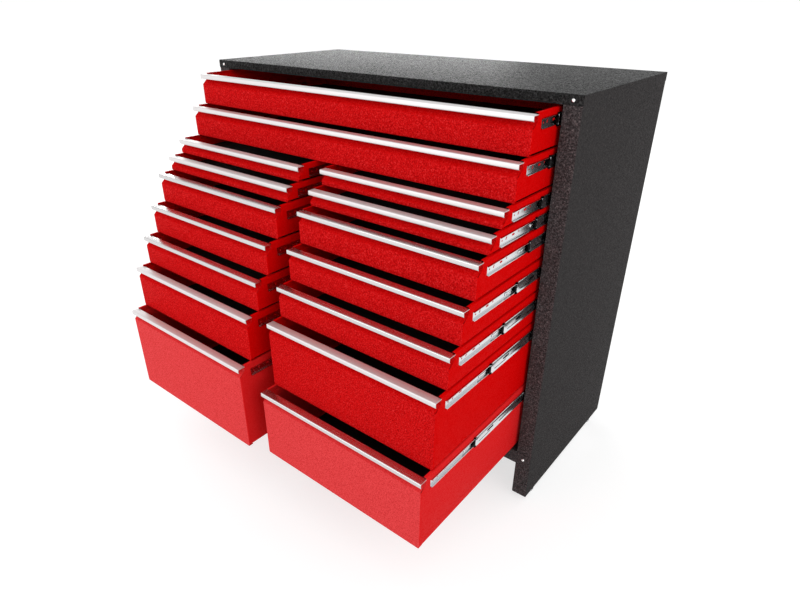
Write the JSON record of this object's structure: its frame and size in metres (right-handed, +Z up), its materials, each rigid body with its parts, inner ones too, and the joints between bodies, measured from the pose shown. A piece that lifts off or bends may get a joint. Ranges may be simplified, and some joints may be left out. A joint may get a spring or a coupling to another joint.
{
  "type": "tool chest",
  "caption": "Wide steel tool chest: two full-width drawers over two columns of drawers on ball-bearing slides, with full-width pulls and levelling feet.",
  "frame": {"origin": "on the floor, at the middle of the chest's footprint with the drawers as they stand in the picture", "axes": "+X to the right seen from the front, +Y to the back, +Z up; the drawers open along -Y"},
  "size_m": [1.4, 1.1864, 1.316],
  "materials": {
    "red_enamel": "red textured powder coat, semi-gloss",
    "black_enamel": "black textured powder coat, satin",
    "bright_steel": "bright plated, satin",
    "zinc_steel": "zinc plated",
    "black_plastic": "moulded black nylon, fine grain"
  },
  "bodies": {
    "cabinet": {"side_panel_left": "black_enamel", "side_panel_right": "black_enamel", "top_panel": "black_enamel", "back_panel": "black_enamel", "base_pan": "black_enamel", "divider_frame": "black_enamel", "cabinet_members": "zinc_steel", "corner_screws": "bright_steel"},
    "wide_1_drawer": {"wide_1_tray": "red_enamel", "wide_1_pull_and_members": "bright_steel"},
    "wide_1_middle": {"wide_1_middle_members": "zinc_steel"},
    "wide_2_drawer": {"wide_2_tray": "red_enamel", "wide_2_pull_and_members": "bright_steel"},
    "wide_2_middle": {"wide_2_middle_members": "zinc_steel"},
    "left_1_drawer": {"left_1_tray": "red_enamel", "left_1_pull_and_members": "bright_steel"},
    "left_1_middle": {"left_1_middle_members": "zinc_steel"},
    "left_2_drawer": {"left_2_tray": "red_enamel", "left_2_pull_and_members": "bright_steel"},
    "left_2_middle": {"left_2_middle_members": "zinc_steel"},
    "left_3_drawer": {"left_3_tray": "red_enamel", "left_3_pull_and_members": "bright_steel"},
    "left_3_middle": {"left_3_middle_members": "zinc_steel"},
    "left_4_drawer": {"left_4_tray": "red_enamel", "left_4_pull_and_members": "bright_steel"},
    "left_4_middle": {"left_4_middle_members": "zinc_steel"},
    "left_5_drawer": {"left_5_tray": "red_enamel", "left_5_pull_and_members": "bright_steel"},
    "left_5_middle": {"left_5_middle_members": "zinc_steel"},
    "left_6_drawer": {"left_6_tray": "red_enamel", "left_6_pull_and_members": "bright_steel"},
    "left_6_middle": {"left_6_middle_members": "zinc_steel"},
    "left_7_drawer": {"left_7_tray": "red_enamel", "left_7_pull_and_members": "bright_steel"},
    "left_7_middle": {"left_7_middle_members": "zinc_steel"},
    "right_1_drawer": {"right_1_tray": "red_enamel", "right_1_pull_and_members": "bright_steel"},
    "right_1_middle": {"right_1_middle_members": "zinc_steel"},
    "right_2_drawer": {"right_2_tray": "red_enamel", "right_2_pull_and_members": "bright_steel"},
    "right_2_middle": {"right_2_middle_members": "zinc_steel"},
    "right_3_drawer": {"right_3_tray": "red_enamel", "right_3_pull_and_members": "bright_steel"},
    "right_3_middle": {"right_3_middle_members": "zinc_steel"},
    "right_4_drawer": {"right_4_tray": "red_enamel", "right_4_pull_and_members": "bright_steel"},
    "right_4_middle": {"right_4_middle_members": "zinc_steel"},
    "right_5_drawer": {"right_5_tray": "red_enamel", "right_5_pull_and_members": "bright_steel"},
    "right_5_middle": {"right_5_middle_members": "zinc_steel"},
    "right_6_drawer": {"right_6_tray": "red_enamel", "right_6_pull_and_members": "bright_steel"},
    "right_6_middle": {"right_6_middle_members": "zinc_steel"},
    "right_7_drawer": {"right_7_tray": "red_enamel", "right_7_pull_and_members": "bright_steel"},
    "right_7_middle": {"right_7_middle_members": "zinc_steel"},
    "foot_front_left": {"foot_front_left": "zinc_steel"},
    "foot_front_right": {"foot_front_right": "zinc_steel"},
    "foot_back_left": {"foot_back_left": "zinc_steel"},
    "foot_back_right": {"foot_back_right": "zinc_steel"}
  },
  "joints": [
    {"name": "wide_1_slide", "type": "slide", "parent": "cabinet", "child": "wide_1_drawer", "axis": [0, -1, 0], "range_m": [-0.127, 0.433]},
    {"name": "wide_1_middle_slide", "type": "slide", "parent": "cabinet", "child": "wide_1_middle", "axis": [0, -1, 0], "range_m": [-0.04445, 0.15155]},
    {"name": "wide_2_slide", "type": "slide", "parent": "cabinet", "child": "wide_2_drawer", "axis": [0, -1, 0], "range_m": [-0.177, 0.383]},
    {"name": "wide_2_middle_slide", "type": "slide", "parent": "cabinet", "child": "wide_2_middle", "axis": [0, -1, 0], "range_m": [-0.06195, 0.13405]},
    {"name": "left_1_slide", "type": "slide", "parent": "cabinet", "child": "left_1_drawer", "axis": [0, -1, 0], "range_m": [-0.252, 0.308]},
    {"name": "left_1_middle_slide", "type": "slide", "parent": "cabinet", "child": "left_1_middle", "axis": [0, -1, 0], "range_m": [-0.0882, 0.1078]},
    {"name": "left_2_slide", "type": "slide", "parent": "cabinet", "child": "left_2_drawer", "axis": [0, -1, 0], "range_m": [-0.302, 0.258]},
    {"name": "left_2_middle_slide", "type": "slide", "parent": "cabinet", "child": "left_2_middle", "axis": [0, -1, 0], "range_m": [-0.1057, 0.0903]},
    {"name": "left_3_slide", "type": "slide", "parent": "cabinet", "child": "left_3_drawer", "axis": [0, -1, 0], "range_m": [-0.352, 0.208]},
    {"name": "left_3_middle_slide", "type": "slide", "parent": "cabinet", "child": "left_3_middle", "axis": [0, -1, 0], "range_m": [-0.145, 0.08568]},
    {"name": "left_4_slide", "type": "slide", "parent": "cabinet", "child": "left_4_drawer", "axis": [0, -1, 0], "range_m": [-0.402, 0.158]},
    {"name": "left_4_middle_slide", "type": "slide", "parent": "cabinet", "child": "left_4_middle", "axis": [0, -1, 0], "range_m": [-0.195, 0.07664]},
    {"name": "left_5_slide", "type": "slide", "parent": "cabinet", "child": "left_5_drawer", "axis": [0, -1, 0], "range_m": [-0.452, 0.108]},
    {"name": "left_5_middle_slide", "type": "slide", "parent": "cabinet", "child": "left_5_middle", "axis": [0, -1, 0], "range_m": [-0.245, 0.05854]},
    {"name": "left_6_slide", "type": "slide", "parent": "cabinet", "child": "left_6_drawer", "axis": [0, -1, 0], "range_m": [-0.502, 0.058]},
    {"name": "left_6_middle_slide", "type": "slide", "parent": "cabinet", "child": "left_6_middle", "axis": [0, -1, 0], "range_m": [-0.295, 0.03408]},
    {"name": "left_7_slide", "type": "slide", "parent": "cabinet", "child": "left_7_drawer", "axis": [0, -1, 0], "range_m": [-0.552, 0.008]},
    {"name": "left_7_middle_slide", "type": "slide", "parent": "cabinet", "child": "left_7_middle", "axis": [0, -1, 0], "range_m": [-0.345, 0.005]},
    {"name": "right_1_slide", "type": "slide", "parent": "cabinet", "child": "right_1_drawer", "axis": [0, -1, 0], "range_m": [-0.227, 0.333]},
    {"name": "right_1_middle_slide", "type": "slide", "parent": "cabinet", "child": "right_1_middle", "axis": [0, -1, 0], "range_m": [-0.07945, 0.11655]},
    {"name": "right_2_slide", "type": "slide", "parent": "cabinet", "child": "right_2_drawer", "axis": [0, -1, 0], "range_m": [-0.277, 0.283]},
    {"name": "right_2_middle_slide", "type": "slide", "parent": "cabinet", "child": "right_2_middle", "axis": [0, -1, 0], "range_m": [-0.09695, 0.09905]},
    {"name": "right_3_slide", "type": "slide", "parent": "cabinet", "child": "right_3_drawer", "axis": [0, -1, 0], "range_m": [-0.327, 0.233]},
    {"name": "right_3_middle_slide", "type": "slide", "parent": "cabinet", "child": "right_3_middle", "axis": [0, -1, 0], "range_m": [-0.12, 0.0855]},
    {"name": "right_4_slide", "type": "slide", "parent": "cabinet", "child": "right_4_drawer", "axis": [0, -1, 0], "range_m": [-0.377, 0.183]},
    {"name": "right_4_middle_slide", "type": "slide", "parent": "cabinet", "child": "right_4_middle", "axis": [0, -1, 0], "range_m": [-0.17, 0.08252]},
    {"name": "right_5_slide", "type": "slide", "parent": "cabinet", "child": "right_5_drawer", "axis": [0, -1, 0], "range_m": [-0.427, 0.133]},
    {"name": "right_5_middle_slide", "type": "slide", "parent": "cabinet", "child": "right_5_middle", "axis": [0, -1, 0], "range_m": [-0.22, 0.06853]},
    {"name": "right_6_slide", "type": "slide", "parent": "cabinet", "child": "right_6_drawer", "axis": [0, -1, 0], "range_m": [-0.477, 0.083]},
    {"name": "right_6_middle_slide", "type": "slide", "parent": "cabinet", "child": "right_6_middle", "axis": [0, -1, 0], "range_m": [-0.27, 0.04698]},
    {"name": "right_7_slide", "type": "slide", "parent": "cabinet", "child": "right_7_drawer", "axis": [0, -1, 0], "range_m": [-0.527, 0.033]},
    {"name": "right_7_middle_slide", "type": "slide", "parent": "cabinet", "child": "right_7_middle", "axis": [0, -1, 0], "range_m": [-0.32, 0.02004]},
    {"name": "foot_front_left_screw", "type": "slide", "parent": "cabinet", "child": "foot_front_left", "axis": [0, 0, -1], "range_m": [0, 0.02]},
    {"name": "foot_front_right_screw", "type": "slide", "parent": "cabinet", "child": "foot_front_right", "axis": [0, 0, -1], "range_m": [0, 0.02]},
    {"name": "foot_back_left_screw", "type": "slide", "parent": "cabinet", "child": "foot_back_left", "axis": [0, 0, -1], "range_m": [0, 0.02]},
    {"name": "foot_back_right_screw", "type": "slide", "parent": "cabinet", "child": "foot_back_right", "axis": [0, 0, -1], "range_m": [0, 0.02]}
  ],
  "couplings": [
    {"joint": "wide_1_middle_slide", "follows": "wide_1_slide", "ratio": 0.35},
    {"joint": "wide_2_middle_slide", "follows": "wide_2_slide", "ratio": 0.35},
    {"joint": "left_1_middle_slide", "follows": "left_1_slide", "ratio": 0.35},
    {"joint": "left_2_middle_slide", "follows": "left_2_slide", "ratio": 0.35},
    {"joint": "left_3_middle_slide", "follows": "left_3_slide", "ratio": 0.41193},
    {"joint": "left_4_middle_slide", "follows": "left_4_slide", "ratio": 0.48507},
    {"joint": "left_5_middle_slide", "follows": "left_5_slide", "ratio": 0.54204},
    {"joint": "left_6_middle_slide", "follows": "left_6_slide", "ratio": 0.58765},
    {"joint": "left_7_middle_slide", "follows": "left_7_slide", "ratio": 0.625},
    {"joint": "right_1_middle_slide", "follows": "right_1_slide", "ratio": 0.35},
    {"joint": "right_2_middle_slide", "follows": "right_2_slide", "ratio": 0.35},
    {"joint": "right_3_middle_slide", "follows": "right_3_slide", "ratio": 0.36697},
    {"joint": "right_4_middle_slide", "follows": "right_4_slide", "ratio": 0.45093},
    {"joint": "right_5_middle_slide", "follows": "right_5_slide", "ratio": 0.51522},
    {"joint": "right_6_middle_slide", "follows": "right_6_slide", "ratio": 0.56604},
    {"joint": "right_7_middle_slide", "follows": "right_7_slide", "ratio": 0.60721}
  ]
}
